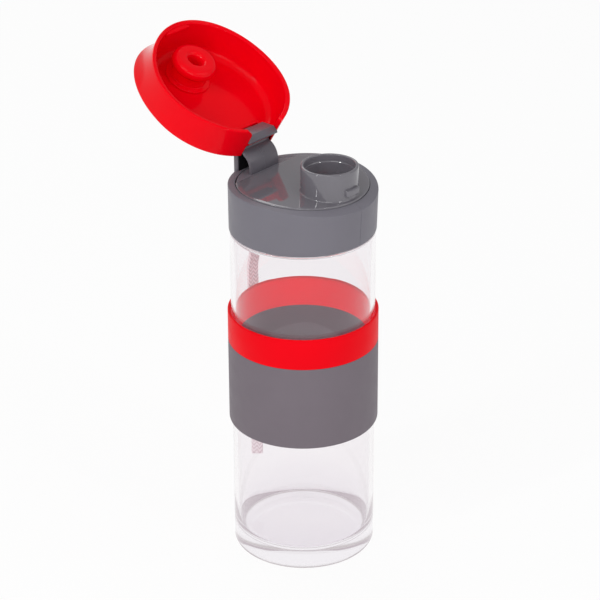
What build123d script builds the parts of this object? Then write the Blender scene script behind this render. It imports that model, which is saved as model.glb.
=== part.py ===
from build123d import *
import math
import os

# A clear drinking bottle with a two-colour grip, a screw cap with a spout and a hinged flip lid.
# Millimetres. The origin is the centre of the base on the table, +Z is up, the hinge is at +Y
# and the spout is at -Y. The lid is drawn shut and then turned open about the hinge.

# Glass body
body_r = 37.0
body_wall = 2.3
floor_t = 9.0
floor_corner_r = 6.0
foot_round = 1.6
shoulder_z = 180.2
shoulder_round = 1.4
shoulder_t = 1.3
shoulder_inner_round = 1.0
neck_step = 4.4
neck_r = body_r - neck_step
neck_wall = 2.5
neck_h = 19.1
lip_round = 0.8

# Grip: a grey sleeve with a red band on top of it
grip_t = 1.75
grip_fit = 0.05
grip_bottom_z = 73.5
sleeve_h = 45.5
band_h = 16.6
grip_round = 0.6
band_lip_t = 0.9

# Collar of the screw cap
collar_gap = 0.5
collar_reach = 0.4
collar_r = body_r + collar_reach
edge_flare_front = 1.1
edge_flare_back = 0.2
collar_edge_front = collar_r + edge_flare_front
collar_edge_back = collar_r + edge_flare_back
collar_bottom_round = 0.6
thread_space = 1.7
ledge_z = 202.3
edge_apex_z = 205.46
edge_apex_y = 5.2
edge_front_arc_r = 214.0
edge_back_arc_r = 600.0

# Deck that carries the spout
collar_shoulder_w = 3.8
deck_r = collar_r - collar_shoulder_w
deck_fit = 0.15
deck_apex_z = 206.02
deck_apex_y = 4.3
deck_arc_r = 527.0
deck_round = 0.35
platform_drop = 0.25
crest_step = 0.15
crest_inset = 0.6
deck_plate_t = 2.6
deck_skirt_t = 2.4
deck_bottom_z = 200.8
flange_h = 1.4
flange_reach = 0.55

# Spout
spout_r = 14.5
spout_margin = 1.4
spout_y = spout_r + spout_margin - deck_r
spout_top_z = 219.6
mouth_r = 12.8
mouth_h = 3.6
bore_r = 12.5
spout_lip_round = 0.7
mouth_round = 0.4
bead_w = 9.5
bead_h = 3.3
bead_z = 207.4
bead_reach = 1.6
bead_bevel = 1.1

# Seal ring between the deck and the neck
seal_h = 1.3
seal_inset = 0.3
seal_gap = 0.1
seal_reach = 0.7

# Hinge post on the collar: the places of its parts are counted from the hinge
hinge_inset = 4.9
hinge_y = collar_r - hinge_inset
hinge_z = 219.65
axle_r = 2.0
axle_fit = 0.08
post_w = 20.6
post_wall = 1.5
spine_wall = 2.6
post_rear_inset = 0.5
post_top_reach = 3.2
head_reach = 6.9
jaw_reach = 1.0
arch_reach = 7.5
chord_reach = 8.2
post_rear_y = collar_r - post_rear_inset
post_top_rear_y = hinge_y + post_top_reach
post_top_z = 225.0
head_front_y = hinge_y - head_reach
head_bevel = 2.4
head_lip_h = 0.9
jaw_tip_y = hinge_y - jaw_reach
arch_foot_y = hinge_y - arch_reach
arch_foot_z = 207.1
arch_tip_z = 216.75
arch_tip_slope = 0.3
# Shares of the way from the arch's foot to its tip, as (backwards, upwards)
arch_shares = [(0.052, 0.238), (0.169, 0.487), (0.361, 0.694), (0.655, 0.881)]
deck_chord_y = hinge_y - chord_reach

# Strap lug on the back of the collar
lug_w = 14.0
lug_h = 7.0
lug_z = 184.5
lug_depth = 4.0
lug_bar_t = 1.6
lug_cheek_t = 2.0
lug_round = 1.0

# Lid, as it lies when shut
open_angle = 150.5
lid_gap = 0.3
lid_side_inset = 0.6
lid_reach = 1.0
lid_draft = 0.5
lid_back_draft = 0.9
lip_reach = 7.2
lip_start_reach = 0.9
lid_rx = collar_r - lid_side_inset
lid_ry = collar_r + lid_reach
lid_top_rx = lid_rx - lid_draft
lid_top_back = lid_ry - lid_back_draft
lid_top_front = lid_ry + lip_reach
lid_mid_front = lid_ry + lip_start_reach
lid_top_z = 225.0
lid_mid_z = 213.0
lid_low_z = 198.0
lid_wall = 2.4
lid_top_t = 2.2
lid_top_round = 1.2
lid_inner_round = 5.0
notch_side_gap = 0.4
notch_front_gap = 1.0
notch_round = 4.0
heel_start = 11.5
heel_knee = 1.5
heel_start_y = hinge_y - heel_start
heel_knee_y = hinge_y - heel_knee
heel_lift = 0.6
heel_rise = 0.3
pocket_wall_t = 1.6
pocket_low_z = 219.4
catch_w = 16.4
catch_h = 5.6
catch_gap = 0.35
peg_r = 3.0
peg_h = 3.2

# Plug of the lid
plug_r = 12.0
plug_h = 13.8
plug_wide_rise = 3.2
plug_stem_rise = 6.6
plug_tip_z = lid_top_z - lid_top_t - plug_h
plug_stem_r = 9.25
plug_flange_r = 12.0
plug_flange_t = 1.4
plug_hole_r = 3.6
plug_hole_mouth_r = 5.4
plug_hole_h = 9.0
plug_crest_r = 8.4
peg_fit = 0.08

# Webbing strap, a loop that hangs from the lug and turns slowly on its way down
strap_w = 7.4
strap_t = 1.2
strap_low_z = 33.0
strap_fall = 157.8
strap_turn = 49.0

overrun = 5.0
level_tolerance = 0.01
edge_point_count = 32
half_turn = 180

bore_wall_r = neck_r + thread_space
collar_bottom_z = shoulder_z + collar_gap
neck_top_z = shoulder_z + neck_h
band_bottom_z = grip_bottom_z + sleeve_h
grip_r = body_r + grip_t
notch_half_w = post_w / 2 + notch_side_gap
notch_front_y = head_front_y - notch_front_gap
lug_rear_y = collar_r + lug_depth
hinge_axis = Axis((0, hinge_y, hinge_z), (1, 0, 0))


def section(points):
    """Closed face in the XZ plane from (radius, height) points."""
    return Plane.XZ * make_face(Polyline(*points, close=True))


def turned(points):
    """Solid of revolution about Z."""
    return revolve(section(points), Axis.Z)


def side_prism(face, width):
    """Solid of a face drawn as (y, z), spread evenly to both sides of the YZ plane."""
    return extrude(Plane.YZ * face, width / 2, both=True)


def circles_at(part, z):
    """Edges of a part that lie level at a height."""
    low = z - level_tolerance
    high = z + level_tolerance
    return part.edges().filter_by_position(Axis.Z, low, high)


def arc_height(y, apex_y, apex_z, front_r, back_r):
    """Height, at a place along Y, of a side view curve of two arcs that meet level at their apex."""
    arc_r = front_r if y < apex_y else back_r
    return apex_z - arc_r + math.sqrt(arc_r**2 - (y - apex_y) ** 2)


def above_arc(apex_y, apex_z, front_r, back_r):
    """Block of everything above a side view curve of two arcs that meet level at their apex."""
    reach = body_r + 4 * overrun
    front_end = (-reach, arc_height(-reach, apex_y, apex_z, front_r, back_r))
    back_end = (reach, arc_height(reach, apex_y, apex_z, front_r, back_r))
    top = apex_z + reach
    fore = TangentArc((apex_y, apex_z), front_end, tangent=(-1, 0))
    rear = TangentArc((apex_y, apex_z), back_end, tangent=(1, 0))
    rest = Polyline(back_end, (reach, top), (-reach, top), front_end)
    return side_prism(make_face(fore + rear + rest), 2 * reach)


def loop_at(rx, ry_front, ry_back, height):
    """Closed curve round the axis, with its height given as a function of y."""
    points = []
    for step in range(edge_point_count):
        turn = 2 * math.pi * step / edge_point_count
        ry = ry_back if math.sin(turn) > 0 else ry_front
        y = ry * math.sin(turn)
        points.append((rx * math.cos(turn), y, height(y)))
    return Wire([Spline(*points, periodic=True)])


def egg(rx, front, back, z):
    """Level outline of half an ellipse towards the front and half an ellipse towards the back."""
    rear = EllipticalCenterArc((0, 0), rx, back, start_angle=0, arc_size=half_turn)
    fore = EllipticalCenterArc((0, 0), rx, front, start_angle=half_turn, arc_size=half_turn)
    return Pos(0, 0, z) * make_face(rear + fore)


def edge_height(y):
    return arc_height(y, edge_apex_y, edge_apex_z, edge_front_arc_r, edge_back_arc_r)


def deck_height(y):
    return arc_height(y, deck_apex_y, deck_apex_z, deck_arc_r, deck_arc_r)


def make_bottle():
    inner_r = body_r - body_wall
    mouth_inner_r = neck_r - neck_wall
    ceiling_z = shoulder_z - shoulder_t
    outline = [
        (0, 0),
        (body_r, 0),
        (body_r, shoulder_z),
        (neck_r, shoulder_z),
        (neck_r, neck_top_z),
        (mouth_inner_r, neck_top_z),
        (mouth_inner_r, ceiling_z),
        (inner_r, ceiling_z),
        (inner_r, floor_t),
        (0, floor_t),
    ]
    glass = turned(outline)
    glass = fillet(circles_at(glass, 0), foot_round)
    floor_edge = circles_at(glass, floor_t).sort_by(SortBy.LENGTH)[-1]
    glass = fillet(floor_edge, floor_corner_r)
    ceiling_edge = circles_at(glass, ceiling_z).sort_by(SortBy.LENGTH)[-1]
    glass = fillet(ceiling_edge, shoulder_inner_round)
    rim = circles_at(glass, neck_top_z)
    glass = fillet(rim, lip_round)
    shoulder_edge = circles_at(glass, shoulder_z).sort_by(SortBy.LENGTH)[-1]
    return fillet(shoulder_edge, shoulder_round)


def make_sleeve():
    inner_r = body_r + grip_fit
    top = band_bottom_z
    sleeve = turned([(inner_r, grip_bottom_z), (grip_r, grip_bottom_z), (grip_r, top), (inner_r, top)])
    foot = circles_at(sleeve, grip_bottom_z).sort_by(SortBy.LENGTH)[-1]
    return fillet(foot, grip_round)


def make_band():
    inner_r = body_r + grip_fit
    top = band_bottom_z + band_h
    lip_z = top - band_lip_t
    outline = [
        (inner_r, band_bottom_z),
        (grip_r, band_bottom_z),
        (grip_r, top),
        (grip_r - band_lip_t, top),
        (inner_r, lip_z),
    ]
    band = turned(outline)
    crest = circles_at(band, top).sort_by(SortBy.LENGTH)[-1]
    return fillet(crest, grip_round / 2)


def make_collar_hull():
    """Outer form of the collar: a level round foot, a waved edge and a sloping shoulder above it."""
    inset_r = deck_r - crest_inset
    foot = loop_at(collar_r, collar_r, collar_r, lambda y: collar_bottom_z)
    edge = loop_at(collar_r, collar_edge_front, collar_edge_back, edge_height)
    crest = loop_at(inset_r, inset_r, inset_r, lambda y: deck_height(y) - platform_drop - crest_step)
    cap = loop_at(inset_r, inset_r, inset_r, lambda y: deck_apex_z + overrun)
    return Part() + Solid.make_loft([foot, edge, crest, cap], ruled=True)


def arch_line(inset, end_z):
    """Side view curve of the arch, from its foot up to under the hinge, set inwards by a wall."""
    foot_y = arch_foot_y + inset
    points = [(foot_y, arch_foot_z)]
    for back_share, up_share in arch_shares:
        y = foot_y + back_share * (jaw_tip_y - foot_y)
        points.append((y, arch_foot_z + up_share * (end_z - arch_foot_z)))
    points.append((jaw_tip_y, end_z))
    return Spline(*points, tangents=((0, 1), (1, arch_tip_slope)))


def make_post():
    """Hinge post: a thin arch with a head, open to the front where the lid's axle snaps in."""
    seat_r = axle_r + axle_fit
    foot_z = ledge_z
    front = Polyline((arch_foot_y, foot_z), (arch_foot_y, arch_foot_z)) + arch_line(0, arch_tip_z)
    rest = Polyline(
        (jaw_tip_y, arch_tip_z),
        (jaw_tip_y, hinge_z + seat_r - axle_fit),
        (head_front_y, post_top_z - head_bevel - head_lip_h),
        (head_front_y, post_top_z - head_bevel),
        (head_front_y + head_bevel, post_top_z),
        (post_top_rear_y, post_top_z),
        (post_rear_y, hinge_z - seat_r - post_wall),
        (post_rear_y, foot_z),
        (arch_foot_y, foot_z),
    )
    body = side_prism(make_face(front + rest), post_w)
    seat = side_prism(Pos(hinge_y, hinge_z) * Circle(seat_r), post_w + overrun)
    # The tunnel keeps one wall to the arch and the seat, and a thicker spine behind.
    roof_z = arch_tip_z - post_wall
    leg_y = arch_foot_y + post_wall
    spine_y = post_rear_y - spine_wall
    under = Polyline((leg_y, foot_z - overrun), (leg_y, arch_foot_z)) + arch_line(post_wall, roof_z)
    closing = Polyline(
        (jaw_tip_y, roof_z),
        (spine_y, roof_z),
        (spine_y, foot_z - overrun),
        (leg_y, foot_z - overrun),
    )
    tunnel = side_prism(make_face(under + closing), post_w + overrun)
    floor = deck_height(hinge_y) - platform_drop
    keep_above = Pos(0, hinge_y, floor) * Box(
        post_w + 2 * overrun, 4 * overrun, 4 * overrun, align=(Align.CENTER, Align.CENTER, Align.MIN)
    )
    return body - seat - (tunnel & keep_above)


def make_lug():
    """Bridge on the back of the collar that the strap passes behind."""
    block = Pos(0, 0, lug_z) * Box(lug_w, lug_rear_y, lug_h, align=(Align.CENTER, Align.MIN, Align.MIN))
    corners = block.edges().filter_by(Axis.Z).sort_by(Axis.Y)[-2:]
    block = fillet(corners, lug_round)
    slot_depth = lug_depth - lug_bar_t
    slot = Pos(0, collar_r, lug_z - overrun) * Box(
        lug_w - 2 * lug_cheek_t,
        slot_depth,
        lug_h + 2 * overrun,
        align=(Align.CENTER, Align.MIN, Align.MIN),
    )
    return block - slot


def make_collar():
    hull = make_collar_hull()
    platform_top = above_arc(deck_apex_y, deck_apex_z - platform_drop, deck_arc_r, deck_arc_r)
    collar = hull - platform_top
    collar = collar + make_post() + make_lug()
    bore = Pos(0, 0, collar_bottom_z - overrun) * Cylinder(
        bore_wall_r, ledge_z - collar_bottom_z + overrun, align=(Align.CENTER, Align.CENTER, Align.MIN)
    )
    opening_r = deck_r + deck_fit
    opening = Pos(0, 0, ledge_z - overrun) * Cylinder(
        opening_r, 2 * overrun, align=(Align.CENTER, Align.CENTER, Align.MIN)
    )
    front = Pos(0, deck_chord_y, ledge_z) * Box(
        3 * body_r, 3 * body_r, 4 * overrun, align=(Align.CENTER, Align.MAX, Align.CENTER)
    )
    collar = collar - bore - (opening & front)
    foot_edge = circles_at(collar, collar_bottom_z).sort_by(SortBy.LENGTH)[-1]
    return fillet(foot_edge, collar_bottom_round)


def make_deck():
    height = deck_apex_z + overrun - deck_bottom_z
    puck = Pos(0, 0, deck_bottom_z) * Cylinder(
        deck_r, height, align=(Align.CENTER, Align.CENTER, Align.MIN)
    )
    puck = puck - above_arc(deck_apex_y, deck_apex_z, deck_arc_r, deck_arc_r)
    # The part of the deck behind the chord lies under the hinge platform.
    shelf_z = deck_bottom_z + flange_h
    behind = Pos(0, deck_chord_y - deck_fit, shelf_z) * Box(
        3 * body_r, body_r, 4 * overrun, align=(Align.CENTER, Align.MIN, Align.MIN)
    )
    puck = puck - behind
    crest = puck.edges().filter_by_position(Axis.Z, shelf_z + flange_h, deck_apex_z + overrun)
    crest = crest.filter_by_position(Axis.Y, -deck_r - overrun, deck_chord_y - 2 * deck_fit)
    puck = fillet(crest, deck_round)
    flange = Pos(0, 0, deck_bottom_z) * Cylinder(
        deck_r + flange_reach, flange_h, align=(Align.CENTER, Align.CENTER, Align.MIN)
    )
    puck = puck + flange
    hollow_top = deck_height(-deck_r) - deck_plate_t
    hollow_h = hollow_top - deck_bottom_z + overrun
    hollow = Pos(0, 0, deck_bottom_z - overrun) * Cylinder(
        deck_r - deck_skirt_t, hollow_h, align=(Align.CENTER, Align.CENTER, Align.MIN)
    )
    hollow_rear = deck_chord_y - deck_skirt_t
    hollow_keep = Pos(0, hollow_rear, deck_bottom_z) * Box(
        3 * body_r, 3 * body_r, 4 * overrun, align=(Align.CENTER, Align.MAX, Align.CENTER)
    )
    puck = puck - (hollow & hollow_keep)
    spout_base = hollow_top
    spout = Pos(0, spout_y, spout_base) * Cylinder(
        spout_r, spout_top_z - spout_base, align=(Align.CENTER, Align.CENTER, Align.MIN)
    )
    deck = puck + spout + make_bead()
    bore = Pos(0, spout_y, deck_bottom_z - overrun) * Cylinder(
        bore_r, spout_top_z - deck_bottom_z + 2 * overrun, align=(Align.CENTER, Align.CENTER, Align.MIN)
    )
    mouth = Pos(0, spout_y, spout_top_z - mouth_h) * Cylinder(
        mouth_r, mouth_h + overrun, align=(Align.CENTER, Align.CENTER, Align.MIN)
    )
    deck = deck - bore - mouth
    rim = circles_at(deck, spout_top_z).sort_by(SortBy.LENGTH)
    deck = fillet(rim[-1], spout_lip_round)
    inner_rim = circles_at(deck, spout_top_z).sort_by(SortBy.LENGTH)[0]
    return fillet(inner_rim, mouth_round)


def make_bead():
    """Latch bead on the front wall of the spout."""
    front_y = spout_y - spout_r - bead_reach
    bead = Pos(0, front_y, bead_z) * Box(
        bead_w, bead_reach + spout_r / 4, bead_h, align=(Align.CENTER, Align.MIN, Align.MIN)
    )
    ends = bead.edges().filter_by(Axis.Z).sort_by(Axis.Y)[:2]
    bead = chamfer(ends, bead_bevel)
    nose = bead.edges().filter_by(Axis.X).sort_by(Axis.Y)[:2].sort_by(Axis.Z)[-1]
    return chamfer(nose, bead_bevel / 2)


def make_seal():
    bottom = neck_top_z + seal_gap
    top = bottom + seal_h
    inner_r = neck_r - neck_wall - seal_inset
    outer_r = neck_r + seal_reach
    return turned([(inner_r, bottom), (outer_r, bottom), (outer_r, top), (inner_r, top)])


def lid_form(inset, top_z):
    """Outer or inner form of the lid: an oval foot that flares to the front into a thumb lip."""
    low = egg(lid_rx - inset, lid_ry - inset, lid_ry - inset, lid_low_z)
    mid = egg(
        (lid_rx + lid_top_rx) / 2 - inset,
        lid_mid_front - inset,
        (lid_ry + lid_top_back) / 2 - inset,
        lid_mid_z,
    )
    high = egg(lid_top_rx - inset, lid_top_front - inset, lid_top_back - inset, top_z)
    return loft([low, mid, high])


def make_lid():
    outer = lid_form(0, lid_top_z)
    crown = outer.edges().filter_by_position(Axis.Z, lid_top_z - lid_gap, lid_top_z + lid_gap)
    outer = fillet(crown, lid_top_round)
    inner = egg(lid_rx - lid_wall, lid_ry - lid_wall, lid_ry - lid_wall, lid_low_z - overrun)
    cavity_top = egg(
        lid_top_rx - lid_wall,
        lid_ry - lid_wall,
        lid_top_back - lid_wall,
        lid_top_z - lid_top_t,
    )
    cavity = loft([inner, cavity_top])
    ceiling_z = lid_top_z - lid_top_t
    corner = cavity.edges().filter_by_position(Axis.Z, ceiling_z - lid_gap, ceiling_z + lid_gap)
    cavity = fillet(corner, lid_inner_round)
    shell = outer - cavity
    # The pocket round the hinge keeps the inside of the lid closed off from the notch.
    pocket_h = lid_top_z - lid_top_t - pocket_low_z
    pocket_w = 2 * (notch_half_w + pocket_wall_t)
    pocket = Pos(0, notch_front_y - pocket_wall_t, pocket_low_z) * Box(
        pocket_w, body_r, pocket_h + lid_top_t / 2, align=(Align.CENTER, Align.MIN, Align.MIN)
    )
    shell = shell + (pocket & outer)
    catch_y = spout_y - spout_r - bead_reach - catch_gap
    catch_top = edge_height(-lid_ry) + catch_h
    catch = Pos(0, catch_y, lid_low_z) * Box(
        catch_w, lid_ry + catch_y, catch_top - lid_low_z, align=(Align.CENTER, Align.MAX, Align.MIN)
    )
    shell = shell + (catch & outer)
    shell = shell - make_notch()
    axle_length = 2 * (notch_half_w + pocket_wall_t / 2)
    axle = Pos(0, hinge_y, hinge_z) * Rot(0, 90, 0) * Cylinder(axle_r, axle_length)
    shell = shell + axle
    split = above_arc(edge_apex_y, edge_apex_z + lid_gap, edge_front_arc_r, edge_back_arc_r)
    shell = (shell & split) - Pos(0, 0, lid_gap) * make_collar_hull_lid() - make_heel()
    peg = Pos(0, spout_y, lid_top_z - lid_top_t - peg_h) * Cylinder(
        peg_r, peg_h + lid_top_t / 2, align=(Align.CENTER, Align.CENTER, Align.MIN)
    )
    return shell + peg


def heel_height():
    """Height of the lid's rim beside the hinge, which has to swing over the deck."""
    return deck_height(heel_knee_y) + heel_lift


def make_heel():
    """What is cut from the rim beside the hinge, seen from the side."""
    start_z = edge_height(heel_start_y)
    back_y = lid_ry + overrun
    points = [
        (heel_start_y, lid_low_z - overrun),
        (heel_start_y, start_z),
        (heel_knee_y, heel_height()),
        (back_y, heel_height() + heel_rise),
        (back_y, lid_low_z - overrun),
    ]
    return side_prism(make_face(Polyline(*points, close=True)), 2 * body_r)


def make_notch():
    """Cut for the hinge post, with round corners where it meets the rim."""
    bottom = lid_low_z - overrun
    height = lid_top_z + overrun - bottom
    slot = Pos(0, bottom) * Rectangle(2 * notch_half_w, height, align=(Align.CENTER, Align.MIN))
    corner_x = notch_half_w + notch_round
    corner_z = heel_height() + notch_round
    flare = Pos(0, bottom) * Rectangle(2 * corner_x, corner_z - bottom, align=(Align.CENTER, Align.MIN))
    for side in (-1, 1):
        flare = flare - Pos(side * corner_x, corner_z) * Circle(notch_round)
    outline = Plane.XZ * (slot + flare)
    cut = Pos(0, lid_ry + overrun, 0) * extrude(outline, lid_ry + overrun - notch_front_y)
    return cut


def make_collar_hull_lid():
    """Collar form that the shut lid is cut to, up to the platform."""
    return make_collar_hull() - above_arc(deck_apex_y, deck_apex_z, deck_arc_r, deck_arc_r)


def make_plug():
    top = lid_top_z - lid_top_t
    flange_z = top - plug_flange_t
    socket_r = peg_r + peg_fit
    hole_top = plug_tip_z + plug_hole_h
    stem_top_z = plug_tip_z + plug_stem_rise
    bulge = ThreePointArc(
        (plug_stem_r, stem_top_z),
        (plug_r, plug_tip_z + plug_wide_rise),
        (plug_crest_r, plug_tip_z),
    )
    throat = ThreePointArc(
        (plug_crest_r, plug_tip_z),
        ((plug_crest_r + plug_hole_mouth_r) / 2, plug_tip_z + peg_fit),
        (plug_hole_mouth_r, plug_tip_z + plug_flange_t / 2),
    )
    rest = Polyline(
        (plug_hole_mouth_r, plug_tip_z + plug_flange_t / 2),
        (plug_hole_r, plug_tip_z + 2 * plug_flange_t),
        (plug_hole_r, hole_top),
        (0, hole_top),
        (0, top - peg_h - peg_fit),
        (socket_r, top - peg_h - peg_fit),
        (socket_r, top),
        (plug_flange_r, top),
        (plug_flange_r, flange_z),
        (plug_stem_r, flange_z),
        (plug_stem_r, stem_top_z),
    )
    outline = Plane.XZ * make_face(bulge + throat + rest)
    return Pos(0, spout_y, 0) * revolve(outline, Axis.Z)


# Where the strap's two legs hang, from its fold over the lug down to its lowest fold. Each row has
# the height as a share of the strap's fall, the way to the side and the way out from the collar as
# shares of its width, half the gap between the legs' middles as a share of its thickness, and how
# far the strap has turned as a share of its whole turn.
strap_hang_shares = [
    (1.0000, 0.000, 0.432, 1.458, 0.000),
    (0.9569, 0.000, 0.432, 1.458, 0.000),
    (0.9062, 0.162, 0.365, 0.833, 0.061),
    (0.8428, 0.527, 0.284, 0.567, 0.122),
    (0.7890, 0.757, 0.297, 0.567, 0.184),
    (0.7541, 0.703, 0.419, 0.567, 0.214),
    (0.7224, 0.622, 0.541, 0.567, 0.245),
    (0.6527, 0.622, 0.595, 0.567, 0.316),
    (0.5513, 0.676, 0.622, 0.567, 0.429),
    (0.4246, 0.770, 0.635, 0.567, 0.551),
    (0.2662, 0.851, 0.649, 0.567, 0.724),
    (0.1077, 0.905, 0.662, 0.600, 0.888),
    (0.0444, 0.919, 0.662, 0.750, 0.959),
    (0.0000, 0.919, 0.662, 1.000, 1.000),
]


def strap_frame(row):
    """Middle between the legs at one row, the directions across and outwards, and half the gap."""
    up_share, side_share, out_share, gap_share, turn_share = row
    turn = math.radians(turn_share * strap_turn)
    middle = Vector(
        side_share * strap_w, collar_r + out_share * strap_w, strap_low_z + up_share * strap_fall
    )
    across = Vector(math.cos(turn), -math.sin(turn), 0)
    outwards = Vector(math.sin(turn), math.cos(turn), 0)
    return middle, across, outwards, gap_share * strap_t


def make_leg(side):
    """One leg of the strap: a flat band through a rectangle at each row."""
    sections = []
    for row in strap_hang_shares:
        middle, across, outwards, gap = strap_frame(row)
        centre = middle + outwards * (side * gap)
        half_w = across * (strap_w / 2)
        half_t = outwards * (strap_t / 2)
        corners = [
            centre - half_w - half_t,
            centre + half_w - half_t,
            centre + half_w + half_t,
            centre - half_w + half_t,
        ]
        sections.append(Wire.make_polygon(corners, close=True))
    return Part() + Solid.make_loft(sections, ruled=True)


def make_fold(row, start_angle):
    """Half ring that joins the two legs at a row, above it from angle 0 or below it from half a turn."""
    middle, across, outwards, gap = strap_frame(row)
    outer_r = gap + strap_t / 2
    inner_r = gap - strap_t / 2
    outer = CenterArc((0, 0), outer_r, start_angle, half_turn)
    inner = CenterArc((0, 0), inner_r, start_angle, half_turn)
    ring = make_face([outer, inner, Line(outer @ 0, inner @ 0), Line(outer @ 1, inner @ 1)])
    place = Plane(origin=middle, x_dir=outwards, z_dir=across)
    print("strap fold radius", round(gap, 2))
    return extrude(place * ring, strap_w / 2, both=True)


def make_strap():
    legs = make_leg(-1) + make_leg(1)
    strap = legs + make_fold(strap_hang_shares[0], 0) + make_fold(strap_hang_shares[-1], half_turn)
    print("strap length", round(strap.volume / (strap_w * strap_t), 1))
    return strap


os.makedirs("parts", exist_ok=True)
nodes = {
    "bottle_body": make_bottle(),
    "grip_sleeve": make_sleeve(),
    "grip_band": make_band(),
    "collar_ring": make_collar(),
    "spout_deck": make_deck(),
    "cap_seal": make_seal(),
    "lid_shell": make_lid().rotate(hinge_axis, -open_angle),
    "lid_plug": make_plug().rotate(hinge_axis, -open_angle),
    "strap_loop": make_strap(),
}
for name, shape in nodes.items():
    export_step(shape, f"parts/{name}.step")
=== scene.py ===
import math

import bmesh
import bpy
import numpy as np
from mathutils import Matrix, Vector


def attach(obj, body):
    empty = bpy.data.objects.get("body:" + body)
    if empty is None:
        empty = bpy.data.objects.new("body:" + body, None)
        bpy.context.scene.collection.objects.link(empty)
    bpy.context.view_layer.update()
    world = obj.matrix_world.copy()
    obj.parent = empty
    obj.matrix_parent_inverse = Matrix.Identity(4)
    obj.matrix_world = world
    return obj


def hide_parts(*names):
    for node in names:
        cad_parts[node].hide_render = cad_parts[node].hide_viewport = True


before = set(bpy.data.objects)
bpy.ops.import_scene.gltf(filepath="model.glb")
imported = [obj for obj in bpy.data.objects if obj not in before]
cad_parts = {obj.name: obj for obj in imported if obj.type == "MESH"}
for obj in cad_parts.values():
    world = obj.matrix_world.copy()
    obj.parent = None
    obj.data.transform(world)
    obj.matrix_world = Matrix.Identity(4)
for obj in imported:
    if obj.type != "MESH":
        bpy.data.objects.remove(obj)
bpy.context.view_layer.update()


# Lengths are written in millimetres, as in the CAD, and turned into metres when a mesh is made.
MM = 0.001
# Points round a turned piece
ROUND = 256

# Glass body
BODY_R = 37.0
BODY_WALL = 2.3
FLOOR_T = 9.0
FLOOR_CROWN = 0.3
FLOOR_CROWN_R = 14.0
PUNT_H = 0.6
PUNT_R = 10.0
PUNT_EDGE_H = 0.35
PUNT_EDGE_R = 24.0
FOOT_IN_R = 31.0
SHOULDER_Z = 180.2
SHOULDER_T = 1.3
NECK_R = 32.6
NECK_IN_R = 30.1
NECK_TOP_Z = 199.3
NECK_ROUND = 0.8
# Roundings from the foot's inner edge up to the neck, and from the neck down to the floor's crown
OUTSIDE_ROUNDS = [4.0, 2.2, 0.5, 0.3]
INSIDE_ROUNDS = [0.5, 1.0, 6.0, 20.0]
THREAD_PITCH = 4.0
THREAD_FADE = 1.2
NECK_THREAD_H = 1.05
BORE_THREAD_H = 0.9

# Grip
GRIP_IN_R = 37.06
GRIP_R = 38.75
GRIP_LOW_Z = 73.5
BAND_LOW_Z = 119.0
BAND_TOP_Z = 135.6
BAND_JOINT = 0.02
BAND_RIM = 1.0
BAND_FALL = 0.9
SLEEVE_ROUNDS = [0.2, 0.7, 0.25, 0.1]
BAND_ROUNDS = [0.1, 0.25, 0.45, 0.2, 0.1]

# Collar and deck
COLLAR_R = 37.4
EDGE_FRONT = 38.5
EDGE_BACK = 37.6
COLLAR_LOW_Z = 180.7
BORE_R = 34.3
LEDGE_Z = 202.3
OPENING_R = 33.75
COLLAR_ROUNDS = [0.3, 0.8, 0.55, 0.3, 0, 0]
CREST_R = 33.0
CREST_DROP = 0.4
DECK_R = 33.6
DECK_LOW_Z = 201.0
DECK_ROUND = 0.45
DECK_JOINT = 0.15
CHORD_Y = 24.3
# The waved edge and the domed deck are arcs of large circles: height, middle and radius of each
EDGE_TOP_Z = 205.46
EDGE_MIDDLE_Y = 5.2
EDGE_FRONT_ARC = 214.0
EDGE_BACK_ARC = 600.0
DECK_TOP_Z = 206.02
DECK_MIDDLE_Y = 4.3
DECK_ARC = 527.0

# Spout
SPOUT_Y = -17.7
SPOUT_R = 14.5
SPOUT_TOP_Z = 219.6
MOUTH_R = 12.8
MOUTH_H = 3.6
SPOUT_BORE_R = 12.5
SPOUT_ROUNDS = [0.75, 0.6, 0.3, 0.3]

# Hinge
HINGE_Y = 32.5
HINGE_Z = 219.65
OPEN_ANGLE = 150.5
POST_HALF_W = 10.3
POST_FLOOR_Z = 203.4
POST_WALL = 1.5
ARCH_Y = 25.0
ARCH_LOW_Z = 207.1
ARCH_TOP_Z = 216.75
# Points of the arch between its foot and its end under the axle, as (y, z)
ARCH_RISE = [(25.34, 209.4), (26.1, 211.8), (27.35, 213.8), (29.26, 215.6)]
# Front of the post's rear leg, then the mouth and the seat that hold the lid's axle
LEG_Y = 34.3
JAW_Y = 31.5
SEAT_R = 2.08
AXLE_R = 2.0
NOTCH_HALF_W = 10.7
NOTCH_FRONT_Y = 24.6

# Lid, drawn shut
LID_TOP_Z = 225.0
LID_CEILING_Z = 222.8
# Three levels, and at each half its width and its reach to the front and to the back
LID_LEVELS = (198.0, 213.0, LID_TOP_Z)
LID_HALF_W = (36.8, 36.55, 36.3)
LID_FRONT = (38.4, 39.3, 45.6)
LID_BACK = (38.4, 37.95, 37.5)
LID_CROWN = 1.2
# Its hollow at a low level, and how far the sides and the back draw in up to the ceiling
LID_IN_LOW_Z = 193.0
LID_IN_HALF_W = 34.4
LID_IN_REACH = 36.0
LID_IN_DRAW = 0.5
LID_IN_BACK_DRAW = 0.9
CEILING_ROUND = 5.0
RIM_ROUND = 0.55
RIM_GAP = 0.3
RIM_IN_GAP = 0.35
# Reach at which the rim's height is read from the collar's edge
RIM_REACH = 38.2
# Least height of the rim beside and behind the post: y and height at three places
HEEL_YS = [21.0, 31.0, 43.4]
HEEL_ZS = [205.25, 205.94, 206.24]


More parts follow.
